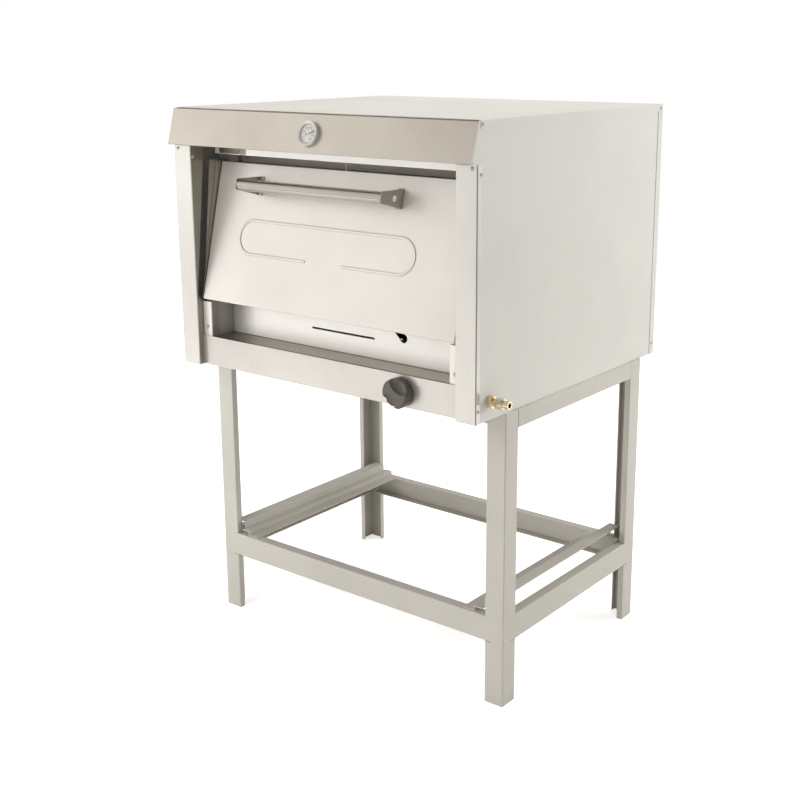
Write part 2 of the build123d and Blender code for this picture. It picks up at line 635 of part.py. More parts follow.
def insulation_top():
    return block(-MOUTH_HALF, MOUTH_HALF, BULB_Y + 18.0, CHAMBER_BACK + 8.0,
                 CHAMBER_CEILING + SHELL_SHEET + 1.0, TOP - 20.0)


# ---------------------------------------------------------------- gas train
VALVE_FRONT = PANEL_Y + SHEET + 0.5
VALVE_BACK = VALVE_FRONT + 42.0
PIPE_RADIUS = 6.5


def gas_valve():
    """Brass tap behind the panel, with a socket for its stem and an outlet to the burner."""
    bonnet = rod_y(VALVE_FRONT, VALVE_FRONT + 14.0, KNOB_X, KNOB_Z, 9.0)
    body = rod_y(VALVE_FRONT + 14.0, VALVE_BACK, KNOB_X, KNOB_Z, 14.0)
    jet = rod_y(VALVE_BACK, VALVE_BACK + 16.0, KNOB_X, KNOB_Z, 6.0)
    boss = rod_x(KNOB_X + 10.0, KNOB_X + 24.0, INLET_Y, INLET_Z, PIPE_RADIUS + 2.5)
    pipe_seat = rod_x(KNOB_X + 18.0, KNOB_X + 30.0, INLET_Y, INLET_Z, PIPE_RADIUS)
    stem_bore = rod_y(VALVE_FRONT - 1, VALVE_FRONT + 20.0, KNOB_X, KNOB_Z, STEM_RADIUS + RUNNING_GAP)
    return joined(bonnet, body, jet, boss) - pipe_seat - stem_bore


def valve_stem():
    """Stem with a flat; it turns in the tap and carries the knob."""
    front = PANEL_Y - 15.0
    shaft = rod_y(front, VALVE_FRONT + 19.0, KNOB_X, KNOB_Z, STEM_RADIUS)
    flat = block(KNOB_X - 6, KNOB_X + 6, front - 1, VALVE_FRONT, KNOB_Z + STEM_FLAT, KNOB_Z + 6)
    return shaft - flat


def gas_pipe():
    pipe = rod_x(KNOB_X + 18.0, HALF - SHEET - SHELL_SHEET - 4.0, INLET_Y, INLET_Z, PIPE_RADIUS)
    bore = rod_x(KNOB_X + 17.0, HALF, INLET_Y, INLET_Z, PIPE_RADIUS - 1.2)
    return pipe - bore


def hexagon_x(x0, x1, flats, turn):
    """Hexagon nut along X on the gas inlet's axis, its corners chamfered round."""
    prism = extrude(RegularPolygon(radius=flats / 2, side_count=6, major_radius=False), amount=x1 - x0)
    round_off = flats / 2 * 1.09
    barrel = Pos(0, 0, (x1 - x0) / 2) * Cylinder(round_off, x1 - x0)
    barrel = chamfer(barrel.edges().filter_by(GeomType.CIRCLE), 1.2)
    return Pos(x0, INLET_Y, INLET_Z) * Rot(0, 90, 0) * Rot(0, 0, turn) * (prism & barrel)


def gas_inlet():
    """Brass fitting along +X: neck, locknut, waist, hexagon, groove and threaded end."""
    start = HALF - SHEET - SHELL_SHEET - 4.0
    end = HALF + INLET_REACH
    neck = rod_x(start, HALF - SHEET, INLET_Y, INLET_Z, INLET_NECK_RADIUS)
    locknut = hexagon_x(HALF - SHEET, HALF + 10.0, INLET_NUT_FLATS, 0.0)
    waist = rod_x(HALF + 10.0, HALF + 16.0, INLET_Y, INLET_Z, INLET_TAIL_RADIUS)
    hexagon = hexagon_x(HALF + 16.0, end - INLET_THREAD, INLET_HEX_FLATS, 30.0)
    tail = rod_x(end - INLET_THREAD, end, INLET_Y, INLET_Z, INLET_TAIL_RADIUS)
    bore = rod_x(start - 1, end + 1, INLET_Y, INLET_Z, INLET_BORE_RADIUS)
    return joined(neck, locknut, waist, hexagon, tail) - bore


def burner_tube():
    """U-shaped tube burner under the deck, fed from the tap's jet, with rows of flame slots."""
    x, back, left_end = KNOB_X, 560.0, 190.0
    points = [(x, VALVE_BACK + 17.0, KNOB_Z), (x, 125.0, KNOB_Z), (x, 185.0, BURNER_Z),
              (x, back, BURNER_Z), (-x, back, BURNER_Z), (-x, left_end, BURNER_Z)]
    path = FilletPolyline(*points, radius=[30.0, 30.0, 55.0, 55.0])
    mouth = Plane(origin=points[0], z_dir=(0, 1, 0))
    tube = sweep(mouth * Circle(BURNER_RADIUS), path=path)
    venturi = rod_y(VALVE_BACK + 16.0, 118.0, x, KNOB_Z, BURNER_RADIUS - 2.0)
    tube = tube - venturi
    slot = block(-9, 9, -1.2, 1.2, BURNER_Z + BURNER_RADIUS - 5.0, BURNER_Z + BURNER_RADIUS + 5)
    for side in (-1, 1):
        for index in range(12):
            tube = tube - Pos(side * x, 230.0 + index * 22.0, 0) * slot
    return tube


# ---------------------------------------------------------------- knob
GRIP_TURN = -30.0               # degrees that the grip bar leans from level
KNOB_NOTCHES = 8
NOTCH_TURN = 14.0               # degrees from the grip bar to the first notch


def knob():
    """Moulded knob: notched rim, and a grip bar left between two scooped hollows."""
    disc = extrude(Circle(KNOB_RADIUS), amount=KNOB_THICKNESS)
    disc = fillet(disc.faces().sort_by(Axis.Z)[-1].edges(), 5.0)
    for index in range(KNOB_NOTCHES):
        angle = GRIP_TURN + NOTCH_TURN + 360.0 / KNOB_NOTCHES * index
        notch = Pos(KNOB_RADIUS + 3.5, 0, 0) * Cylinder(5.5, 80.0)
        disc = disc - Rot(0, 0, angle) * notch
    for side in (-1, 1):
        scoop = scale(Sphere(1.0), by=(25.0, 17.0, 13.0))
        disc = disc - Rot(0, 0, GRIP_TURN) * Pos(0, side * 23.5, KNOB_THICKNESS + 1.5) * scoop
    hub = Pos(0, 0, -1.0) * Cylinder(KNOB_HUB_RADIUS, 2.0)
    bore = Cylinder(STEM_RADIUS + RUNNING_GAP, 30.0)
    bore = bore - Pos(0, 6.0 + STEM_FLAT + RUNNING_GAP, 0) * Box(20, 12, 60)
    return Pos(KNOB_X, PANEL_Y - KNOB_GAP, KNOB_Z) * Rot(90, 0, 0) * (disc + hub - bore)


# ---------------------------------------------------------------- thermometer
def dial_turned(profile_shape):
    """A shape built round +Z, put on the hood with +Z out of its face."""
    return DIAL_FRAME * Rot(90, 0, 0) * profile_shape


DIAL_BACK = 2.0                 # thickness of the case's back
DIAL_RIM = 2.6                  # depth of the bevelled lip in front of the glass


def thermometer_case():
    """Round case standing out of the hood, with a bevelled lip round a recessed face."""
    case = Pos(0, 0, DIAL_PROUD / 2) * Cylinder(DIAL_RADIUS, DIAL_PROUD)
    case = fillet(case.edges().group_by(Axis.Z)[-1], 0.6)
    depth = DIAL_PROUD - DIAL_RIM - DIAL_BACK
    pocket = Pos(0, 0, DIAL_BACK + depth / 2) * Cylinder(FACE_RADIUS + 0.2, depth)
    bevel = Pos(0, 0, DIAL_PROUD - DIAL_RIM / 2) * Cone(FACE_RADIUS - 0.6, DIAL_RADIUS - 1.4, DIAL_RIM)
    lug = Pos(0, -DIAL_RADIUS, 1.0) * Box(10.0, 3.0, 2.0)
    return dial_turned(case + lug - pocket - bevel - Cylinder(3.0, 20))


def thermometer_dial():
    return dial_turned(Pos(0, 0, DIAL_BACK + 0.4) * Cylinder(FACE_RADIUS, 0.8) - Cylinder(1.3, 20))


def thermometer_glass():
    return dial_turned(Pos(0, 0, DIAL_PROUD - DIAL_RIM - 0.6) * Cylinder(FACE_RADIUS, 1.2))


def thermometer_stem():
    """Socket for the spindle, a thin tube over the header, and a bulb in the chamber."""
    sleeve = dial_turned(Pos(0, 0, -9.0) * Cylinder(2.9, 22.0) - Cylinder(0.9, 8.0))
    lean = math.radians(HOOD_LEAN)
    centre_y = HOOD_BOTTOM_Y + DIAL_HEIGHT * math.sin(lean)
    centre_z = HOOD_BOTTOM + DIAL_HEIGHT * math.cos(lean)
    start = (DIAL_X, centre_y + 18.0 * math.cos(lean), centre_z - 18.0 * math.sin(lean))
    bend = (BULB_X, BULB_Y, centre_z - (BULB_Y - centre_y) * math.tan(lean))
    bulb_top = CHAMBER_CEILING + 6.0
    route = FilletPolyline(start, bend, (BULB_X, BULB_Y, bulb_top - 1.0), radius=14.0)
    tube = sweep(Plane(origin=start, z_dir=route % 0) * Circle(1.5), path=route)
    bulb = Pos(BULB_X, BULB_Y, bulb_top - BULB_LENGTH / 2) * Cylinder(BULB_RADIUS, BULB_LENGTH)
    return joined(sleeve, tube, bulb)


NEEDLE_REST = 16.0              # degrees above level


def thermometer_needle():
    blade = Pos(7.0, 0, 4.0) * Box(19.0, 2.0, 0.5)
    blade = blade + Pos(-4.5, 0, 4.0) * Box(5.0, 3.4, 0.5)
    hub = Pos(0, 0, 4.0) * Cylinder(2.2, 0.9)
    spindle = Pos(0, 0, 1.9) * Cylinder(0.85, 4.0)
    return dial_turned(Rot(0, 0, NEEDLE_REST) * joined(blade, hub, spindle))


# ---------------------------------------------------------------- door
def bead():
    """Raised racetrack line with a gap in its lower run."""
    outer = SlotOverall(BEAD_LENGTH, BEAD_HEIGHT)
    inner = SlotOverall(BEAD_LENGTH - 2 * BEAD_WIDTH, BEAD_HEIGHT - 2 * BEAD_WIDTH)
    line = extrude(outer - inner, amount=BEAD_RELIEF + 0.4)
    line = fillet(line.faces().sort_by(Axis.Z)[-1].edges(), 1.4)
    gap = Pos(BEAD_GAP_OFFSET, -BEAD_HEIGHT / 2, 0) * Box(BEAD_GAP, 20, 10)
    return Pos(BEAD_OFFSET, 0.4, BEAD_CENTRE) * Rot(90, 0, 0) * (line - gap)


HANDLE_SCREW_SPREAD = 16.5
HANDLE_FLANGE = 15.0
HANDLE_SIDE_HOLE_Y = -27.0
HANDLE_SIDE_HOLE_RADIUS = 7.0


def handle_screw_places():
    places = []
    for end in (-1, 1):
        x = HANDLE_OFFSET + end * (HANDLE_LENGTH / 2 - HANDLE_FLANGE / 2 - 2.0)
        for spread in (-HANDLE_SCREW_SPREAD, HANDLE_SCREW_SPREAD):
            places.append(Pos(x, -2.0, HANDLE_FOOT_HEIGHT + spread) * Rot(90, 0, 0))
    return places


def door_panel():
    """Outer pan: face, four returns, raised bead, handle and hinge holes."""
    t, w, d, h = SHEET, DOOR_HALF_WIDTH, DOOR_THICKNESS - 3.0, DOOR_SLOPE
    face = block(-w, w, 0, t, 0, h)
    sides = [block(-w, -w + t, 0, d, 0, h), block(w - t, w, 0, d, 0, h)]
    ends = [block(-w, w, 0, d, 0, t), block(-w, w, 0, d, h - t, h)]
    pan = joined(face, *sides, *ends)
    pan = bent(pan, Axis.X, SHEET_BEND, (0, 0), (0, h))
    pan = bent(pan, Axis.Z, SHEET_BEND, (-w, 0), (w, 0)) + bead()
    pin = rod_x(-w - 5, w + 5, HINGE_INSET, HINGE_INSET, HINGE_PIN_RADIUS + RUNNING_GAP)
    hole = Cylinder(SCREW_SHANK_RADIUS + SCREW_CLEARANCE, 12)
    for place in handle_screw_places():
        pan = pan - place * hole
    return DOOR_FRAME * (pan - pin)


def door_liner():
    """Inner pan with an embossed centre that reaches into the mouth."""
    t, w, d, h = SHEET, DOOR_HALF_WIDTH, DOOR_THICKNESS, DOOR_SLOPE
    y0 = d - 3.0
    plate = block(-w, w, y0, y0 + 2.0, 0, h)
    x, z0, z1 = MOUTH_HALF - 20.0, MOUTH_LOW + 8.0, MOUTH_HIGH - 8.0
    raised = block(-x, x, y0, y0 + 9.0, z0, z1)
    hollow = block(-x + t, x - t, y0 - 1, y0 + 9.0 - t, z0 + t, z1 - t)
    return DOOR_FRAME * ((plate + raised) - hollow)


def door_insulation():
    w, h = DOOR_HALF_WIDTH - 4.0, DOOR_SLOPE
    slab = block(-w, w, 4.0, DOOR_THICKNESS - 4.0, 18.0, h - 4.0)
    for place in handle_screw_places():
        slab = slab - place * Cylinder(4.0, 40)
    return DOOR_FRAME * slab


def handle_tube():
    x0 = HANDLE_OFFSET - HANDLE_LENGTH / 2 + 2.2
    x1 = HANDLE_OFFSET + HANDLE_LENGTH / 2 - 2.2
    tube = rod_x(x0, x1, -HANDLE_STANDOFF, HANDLE_HEIGHT, HANDLE_RADIUS)
    bore = rod_x(x0 - 1, x1 + 1, -HANDLE_STANDOFF, HANDLE_HEIGHT, HANDLE_RADIUS - 1.5)
    return DOOR_FRAME * (tube - bore)


def handle_bracket(end):
    """End plate that flares from the tube to the door, with a screwed inward flange."""
    x_outer = HANDLE_OFFSET + end * HANDLE_LENGTH / 2
    x_inner = x_outer - end * 2.0
    xs = sorted((x_outer, x_inner))
    tip, foot = HANDLE_RADIUS - 1.0, HANDLE_SCREW_SPREAD + 4.5
    front = -HANDLE_STANDOFF - HANDLE_RADIUS - 0.5
    outline = [(0.0, HANDLE_FOOT_HEIGHT - foot), (0.0, HANDLE_FOOT_HEIGHT + foot),
               (front, HANDLE_HEIGHT + tip), (front, HANDLE_HEIGHT - tip)]
    plate = side_profile(outline, xs[0], xs[1])
    plate = bent(plate, Axis.X, 5.0, (front, HANDLE_HEIGHT + tip), (front, HANDLE_HEIGHT - tip))
    flange_xs = sorted((x_outer, x_outer - end * HANDLE_FLANGE))
    flange = block(flange_xs[0], flange_xs[1], -2.0, 0.0,
                   HANDLE_FOOT_HEIGHT - foot, HANDLE_FOOT_HEIGHT + foot)
    bracket = bent(plate + flange, Axis.Z, 1.9, (x_outer, 0))
    hole = Cylinder(SCREW_SHANK_RADIUS + SCREW_CLEARANCE, 12)
    for place in handle_screw_places():
        bracket = bracket - place * hole
    hole_height = (HANDLE_HEIGHT + HANDLE_FOOT_HEIGHT) / 2
    side_hole = rod_x(xs[0] - 5, xs[1] + 5, HANDLE_SIDE_HOLE_Y, hole_height, HANDLE_SIDE_HOLE_RADIUS)
    return DOOR_FRAME * (bracket - side_hole)


def door_screws():
    screw = dome_screw()
    return grouped([DOOR_FRAME * place * screw for place in handle_screw_places()])


def hinge_pins():
    """Headed pins pressed in the jambs; the door turns on them."""
    y, z = behind_door(HINGE_INSET, HINGE_INSET)
    reach = JAMB_X + 2 * SHEET
    shank = rod_x(DOOR_HALF_WIDTH - 9.0, reach, y, z, HINGE_PIN_RADIUS)
    head = rod_x(reach, reach + 2.6, y, z, HINGE_PIN_RADIUS + 3.0)
    pin = shank + head
    return grouped([pin, mirrored(pin)])


def case_screws():
    screw = dome_screw()
    return grouped([place * screw for place in screw_places()])


# ---------------------------------------------------------------- build
def all_nodes():
    nodes = {}
    for side, side_name in ((-1, "left"), (1, "right")):
        for front, end_name in ((True, "front"), (False, "back")):
            nodes["leg_" + end_name + "_" + side_name] = leg(side, front)
        nodes["handle_bracket_" + side_name] = handle_bracket(side)
    nodes.update(stand_rails())

    paired = {"tray_runner": tray_runner, "front_post": front_post, "lower_jamb": lower_jamb,
              "jamb": jamb, "chamber_wall": chamber_wall}
    for name, make in paired.items():
        right = make()
        nodes[name + "_right"] = right
        nodes[name + "_left"] = mirrored(right)
    nodes["side_panel_right"] = side_panel(has_inlet=True)
    nodes["side_panel_left"] = mirrored(side_panel(has_inlet=False))

    single = [top_cover, back_panel, bottom_panel, hood_fascia, front_header, header_clip,
              control_panel, ledge_tray, burner_cover, mouth_frame, chamber_ceiling, chamber_back, deck_rails,
              deck_stones, insulation_walls, insulation_top, gas_valve, gas_pipe, gas_inlet,
              burner_tube, valve_stem, knob, door_panel, door_liner, door_insulation, handle_tube,
              door_screws, hinge_pins, case_screws, thermometer_case, thermometer_dial,
              thermometer_glass, thermometer_stem, thermometer_needle]
    for make in single:
        nodes[make.__name__] = make()
    return nodes


def save_all(nodes):
    """Put the origin under the middle of the whole and write one STEP per node."""
    solids = [solid for shape in nodes.values() for solid in shape.solids()]
    middle = Compound(solids).bounding_box().center()
    to_origin = Pos(-middle.X, -middle.Y, 0)
    for name, shape in nodes.items():
        export_step(to_origin * shape, "parts/" + name + ".step")
    print("origin at x", round(middle.X, 4), "y", round(middle.Y, 4))


save_all(all_nodes())
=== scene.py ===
"""Deck oven on its stand: materials, fine detail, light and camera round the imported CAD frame."""
import math

import bmesh
import bpy
from mathutils import Euler, Matrix, Vector


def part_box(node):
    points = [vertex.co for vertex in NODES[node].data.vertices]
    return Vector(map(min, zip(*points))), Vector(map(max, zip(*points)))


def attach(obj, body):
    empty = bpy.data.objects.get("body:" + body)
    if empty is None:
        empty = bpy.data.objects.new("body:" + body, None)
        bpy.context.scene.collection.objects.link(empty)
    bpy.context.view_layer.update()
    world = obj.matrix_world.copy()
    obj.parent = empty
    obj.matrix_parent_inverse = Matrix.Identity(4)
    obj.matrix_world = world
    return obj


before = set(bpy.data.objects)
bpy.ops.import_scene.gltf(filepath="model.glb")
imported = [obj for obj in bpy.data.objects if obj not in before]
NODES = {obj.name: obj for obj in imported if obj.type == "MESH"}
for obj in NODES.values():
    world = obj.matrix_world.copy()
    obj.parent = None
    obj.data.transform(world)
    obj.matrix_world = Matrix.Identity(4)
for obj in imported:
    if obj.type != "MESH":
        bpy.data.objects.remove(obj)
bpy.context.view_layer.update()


# ---------------------------------------------------------------- node helpers
def new_material(name):
    material = bpy.data.materials.new(name)
    material.use_nodes = True
    tree = material.node_tree
    return material, tree, tree.nodes["Principled BSDF"]


def add(tree, kind, **settings):
    """Add a node; keys that name an input set its value, the others set a property."""
    node = tree.nodes.new(kind)
    for key, value in settings.items():
        if key in node.inputs:
            node.inputs[key].default_value = value
        else:
            setattr(node, key, value)
    return node


def object_coordinates(tree, scale=(1.0, 1.0, 1.0)):
    coordinates = add(tree, "ShaderNodeTexCoord")
    mapping = add(tree, "ShaderNodeMapping")
    mapping.inputs["Scale"].default_value = scale
    tree.links.new(coordinates.outputs["Object"], mapping.inputs["Vector"])
    return mapping.outputs["Vector"]


def noise(tree, vector, scale, detail=4.0, roughness=0.55):
    node = add(tree, "ShaderNodeTexNoise")
    node.inputs["Scale"].default_value = scale
    node.inputs["Detail"].default_value = detail
    node.inputs["Roughness"].default_value = roughness
    tree.links.new(vector, node.inputs["Vector"])
    return node.outputs["Fac"]


def ramp(tree, factor, stops):
    node = add(tree, "ShaderNodeValToRGB")
    elements = node.color_ramp.elements
    while len(elements) < len(stops):
        elements.new(0.5)
    for element, (position, colour) in zip(elements, stops):
        element.position = position
        element.color = (*colour, 1.0)
    tree.links.new(factor, node.inputs["Fac"])
    return node.outputs["Color"]


def grey(value):
    return (value, value, value)


def feed(tree, socket, value):
    """Link a node output to a socket, or set the socket to a plain value."""
    if isinstance(value, bpy.types.NodeSocket):
        tree.links.new(value, socket)
    else:
        socket.default_value = value


def spread(tree, factor, low, high, at=(0.3, 0.7)):
    """Map a noise factor to a value between low and high."""
    node = add(tree, "ShaderNodeMapRange")
    node.inputs["From Min"].default_value = at[0]
    node.inputs["From Max"].default_value = at[1]
    node.inputs["To Min"].default_value = low
    node.inputs["To Max"].default_value = high
    tree.links.new(factor, node.inputs["Value"])
    return node.outputs["Result"]


def bump(tree, shader, height, strength, distance):
    node = add(tree, "ShaderNodeBump")
    node.inputs["Strength"].default_value = strength
    node.inputs["Distance"].default_value = distance
    tree.links.new(height, node.inputs["Height"])
    tree.links.new(node.outputs["Normal"], shader.inputs["Normal"])


def math_node(tree, operation, first, second):
    node = add(tree, "ShaderNodeMath", operation=operation)
    for socket, value in zip(node.inputs, (first, second)):
        feed(tree, socket, value)
    return node.outputs[0]


def both(tree, first, second):
    """Product of two masks, or of a mask and its strength."""
    return math_node(tree, "MULTIPLY", first, second)


def band(tree, axis, start, end):
    """0 to 1 ramp along an object axis, from start to end in metres."""
    split = add(tree, "ShaderNodeSeparateXYZ")
    tree.links.new(object_coordinates(tree), split.inputs[0])
    return spread(tree, split.outputs["XYZ".index(axis)], 0.0, 1.0, (start, end))


# ---------------------------------------------------------------- kinds of surface
# Stretch of the grain noise for brushing that runs up and down, and from left to right.
UPRIGHT = (420.0, 420.0, 5.0)
LEVEL = (5.0, 420.0, 420.0)
CLOUD_SHARE = 0.6               # part of a steel's tone that varies slowly; the rest follows the grain


def mix_node(tree, factor, first, second, blend_type="MIX"):
    """Mix a colour output with a second colour, which may be plain or a node output."""
    node = add(tree, "ShaderNodeMix", data_type="RGBA", blend_type=blend_type)
    feed(tree, node.inputs[0], factor)
    feed(tree, node.inputs[6], first)
    feed(tree, node.inputs[7], (*second, 1.0) if isinstance(second, tuple) else second)
    return node.outputs[2]


def painted_crease_shade(tree, colour, reach, depth):
    """Painted shade: darken a colour in the creases narrower than reach."""
    crease = add(tree, "ShaderNodeAmbientOcclusion", samples=6)
    crease.inputs["Distance"].default_value = reach
    shade = spread(tree, crease.outputs["AO"], depth, 1.0, (0.45, 0.95))
    return mix_node(tree, 1.0, colour, shade, "MULTIPLY")


def brushed_steel(name, dark, light, grain=UPRIGHT, rough=(0.30, 0.40), metallic=0.8, painted_shade=None,
                  crease=None):
    """Satin sheet: long fine grain and slow cloudy variation.

    The mask function and colour given for painted shade are (a 0 to 1 mask, colour of the
    shaded metal), and crease, for painted shade in creases, is (widest crease darkened, brightness
    left in it).
    """
    material, tree, shader = new_material(name)
    lines = noise(tree, object_coordinates(tree, grain), 3.0, 6.0, 0.6)
    clouds = noise(tree, object_coordinates(tree), 3.5, 3.0)
    blend = math_node(tree, "ADD", both(tree, clouds, CLOUD_SHARE),
                      both(tree, lines, 1.0 - CLOUD_SHARE))
    colour = ramp(tree, blend, [(0.3, dark), (0.7, light)])
    # Painted shade: the mask darkens the colour where shade falls.
    if painted_shade:
        mask, shaded_colour = painted_shade
        colour = mix_node(tree, mask(tree), colour, shaded_colour)
    if crease:
        colour = painted_crease_shade(tree, colour, *crease)
    tree.links.new(colour, shader.inputs["Base Color"])
    tree.links.new(spread(tree, lines, *rough), shader.inputs["Roughness"])
    shader.inputs["Metallic"].default_value = metallic
    bump(tree, shader, lines, 0.06, 0.0003)
    return material


def painted(name, dark, light, rough=(0.38, 0.5)):
    """Stoved paint: faint orange peel and slow variation of tone."""
    material, tree, shader = new_material(name)
    clouds = noise(tree, object_coordinates(tree), 4.0, 5.0)
    peel_height = noise(tree, object_coordinates(tree), 900.0, 2.0)
    tree.links.new(ramp(tree, clouds, [(0.3, dark), (0.7, light)]), shader.inputs["Base Color"])
    tree.links.new(spread(tree, clouds, *rough), shader.inputs["Roughness"])
    bump(tree, shader, peel_height, 0.06, 0.0002)
    return material


def simple_metal(name, dark, light, rough=(0.25, 0.4)):
    """Turned or plated metal with a faint mottle."""
    material, tree, shader = new_material(name)
    mottle = noise(tree, object_coordinates(tree), 60.0, 5.0)
    tree.links.new(ramp(tree, mottle, [(0.3, dark), (0.7, light)]), shader.inputs["Base Color"])
    tree.links.new(spread(tree, mottle, *rough), shader.inputs["Roughness"])
    shader.inputs["Metallic"].default_value = 1.0
    bump(tree, shader, mottle, 0.1, 0.0002)
    return material


def fired_clay():
    """Baking stone: coarse speckle and a rough face."""
    material, tree, shader = new_material("fired_clay")
    speckle = noise(tree, object_coordinates(tree), 260.0, 6.0, 0.7)
    tree.links.new(ramp(tree, speckle, [(0.25, (0.40, 0.31, 0.22)), (0.75, (0.70, 0.60, 0.47))]),
                   shader.inputs["Base Color"])
    shader.inputs["Roughness"].default_value = 0.9
    bump(tree, shader, speckle, 0.4, 0.001)
    return material


def wool():
    """Mineral wool: long soft fibres."""
    material, tree, shader = new_material("mineral_wool")
    fibres = noise(tree, object_coordinates(tree, (30.0, 500.0, 500.0)), 4.0, 8.0, 0.7)
    tree.links.new(ramp(tree, fibres, [(0.25, (0.42, 0.37, 0.33)), (0.75, (0.66, 0.59, 0.54))]),
                   shader.inputs["Base Color"])
    shader.inputs["Roughness"].default_value = 1.0
    bump(tree, shader, fibres, 0.6, 0.002)
    return material


def moulded_plastic():
    """Dark knob plastic with a fine grain and a slight sheen."""
    material, tree, shader = new_material("knob_plastic")
    grain = noise(tree, object_coordinates(tree), 700.0, 3.0)
    tree.links.new(ramp(tree, grain, [(0.3, (0.070, 0.060, 0.053)), (0.7, (0.100, 0.088, 0.078))]),
                   shader.inputs["Base Color"])
    tree.links.new(spread(tree, grain, 0.20, 0.30), shader.inputs["Roughness"])
    bump(tree, shader, grain, 0.12, 0.0003)
    return material


def clear_glass():
    """Thin pane: almost all of it is see-through, with a little gloss."""
    material, tree, shader = new_material("clear_glass")
    shader.inputs["Base Color"].default_value = (0.90, 0.92, 0.92, 1.0)
    shader.inputs["Alpha"].default_value = 0.10
    smear = noise(tree, object_coordinates(tree), 120.0, 3.0)
    tree.links.new(spread(tree, smear, 0.04, 0.10), shader.inputs["Roughness"])
    return material


# ---------------------------------------------------------------- positions the stains need
MIDDLE = (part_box("front_post_left")[0].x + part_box("front_post_right")[1].x) / 2
POST_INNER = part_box("front_post_right")[0].x - MIDDLE
POST_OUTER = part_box("front_post_right")[1].x - MIDDLE
MOUTH_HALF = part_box("burner_cover")[1].x - MIDDLE
HOOD_LOW, HOOD_HIGH = (corner.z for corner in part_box("hood_fascia"))
TRAY_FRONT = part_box("ledge_tray")[0].y
COVER_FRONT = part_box("burner_cover")[0].y
COVER_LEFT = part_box("burner_cover")[0].x
JAMB_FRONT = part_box("lower_jamb_left")[0].y
POST_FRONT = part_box("front_post_left")[0].y


# ---------------------------------------------------------------- zones of painted shade
# Each gives a 0 to 1 mask in object coordinates. Offsets are in metres from an edge of the piece.
# Strengths of painted shade: the burner cover's left end, the lower corner pieces' side walls, the
# hood's fold lines, and the trough's edges and left part.
COVER_SHADE = 0.5
SIDE_WALL_SHADE = 0.52                # corner pieces: all over the side walls
SIDE_WALL_SHADE_FRONT = 0.32          # and this much more near the front
HOOD_SHADE_LINE = 0.85
TRAY_EDGE_SHADE = 0.9
TRAY_LEFT_SHADE = 0.45


def off_middle(tree, start, end):
    """0 to 1 ramp along the distance from the cabinet's middle plane."""
    split = add(tree, "ShaderNodeSeparateXYZ")
    tree.links.new(object_coordinates(tree), split.inputs[0])
    distance = math_node(tree, "ABSOLUTE", math_node(tree, "SUBTRACT", split.outputs[0], MIDDLE), 0.0)
    return spread(tree, distance, 0.0, 1.0, (start, end))


def cover_corner_shade(tree):
    """Burner cover: painted shade, darker towards its left end."""
    return both(tree, band(tree, "X", COVER_LEFT + 0.075, COVER_LEFT + 0.004), COVER_SHADE)


def jamb_wall_shade(tree):
    """Lower corner pieces: painted shade; the side walls are dark, and darkest near the front."""
    walls = off_middle(tree, MOUTH_HALF + 0.0022, MOUTH_HALF + 0.0014)
    front = band(tree, "Y", JAMB_FRONT + 0.0015, JAMB_FRONT + 0.004)
    back = band(tree, "Y", JAMB_FRONT + 0.034, JAMB_FRONT + 0.020)
    depth = math_node(tree, "ADD", both(tree, back, SIDE_WALL_SHADE_FRONT), SIDE_WALL_SHADE)
    return both(tree, walls, both(tree, front, depth))


def return_shade(tree):
    """Posts: the inner returns beside the opening are duller, and the outer folds are dark lines."""
    inside = off_middle(tree, POST_INNER + 0.0035, POST_INNER + 0.0012)
    behind = band(tree, "Y", POST_FRONT + 0.0013, POST_FRONT + 0.003)
    fold = both(tree, off_middle(tree, POST_OUTER - 0.0020, POST_OUTER - 0.0012),
                band(tree, "Y", POST_FRONT + 0.0030, POST_FRONT + 0.0020))
    return math_node(tree, "MAXIMUM", both(tree, inside, behind), fold)


def hood_shade_lines(tree):
    """Hood: painted shade in a line along its upper fold and under its lower one."""
    upper = band(tree, "Z", HOOD_HIGH - 0.0016, HOOD_HIGH - 0.0008)
    lower = band(tree, "Z", HOOD_LOW + 0.0010, HOOD_LOW + 0.0004)
    return both(tree, math_node(tree, "MAXIMUM", upper, lower), HOOD_SHADE_LINE)


def tray_shade_lines(tree):
    """Trough: painted shade along its front and back edges, and over its left part."""
    front = band(tree, "Y", TRAY_FRONT + 0.012, TRAY_FRONT + 0.008)
    back = band(tree, "Y", COVER_FRONT - 0.012, COVER_FRONT - 0.006)
    edges = both(tree, math_node(tree, "MAXIMUM", front, back), TRAY_EDGE_SHADE)
    left = both(tree, band(tree, "X", COVER_LEFT + 0.35, COVER_LEFT), TRAY_LEFT_SHADE)
    return math_node(tree, "MAXIMUM", edges, left)


# ---------------------------------------------------------------- the materials
# Colour of the painted shade in the recess: the burner cover's left end and the lower corner pieces'
# side walls.
RECESS_SHADE = (0.10, 0.085, 0.07)

STEEL = brushed_steel("satin_steel", (0.60, 0.57, 0.53), (0.76, 0.73, 0.68), metallic=0.8)
# Painted shade: dark lines along the hood's upper and lower folds.
HOOD_STEEL = brushed_steel("hood_steel", (0.52, 0.485, 0.435), (0.70, 0.66, 0.60), rough=(0.26, 0.36),
                           metallic=0.9, painted_shade=(hood_shade_lines, (0.25, 0.21, 0.17)))
# Painted light: the header steel is near-white and hardly metallic so that it stays bright under the
# hood's shadow.
LIT_HEADER_STEEL = brushed_steel("lit_header_steel", (0.93, 0.91, 0.87), (0.96, 0.94, 0.90), metallic=0.1)
POST_STEEL = brushed_steel("post_steel", (0.69, 0.67, 0.625), (0.84, 0.815, 0.765), metallic=0.8,
                           painted_shade=(return_shade, (0.30, 0.28, 0.24)))
# Painted shade: the door's creases, along its bead and folds, are darkened by the crease shading.
DOOR_STEEL = brushed_steel("door_steel", (0.68, 0.655, 0.61), (0.82, 0.79, 0.74), metallic=0.55,
                           crease=(0.003, 0.5))
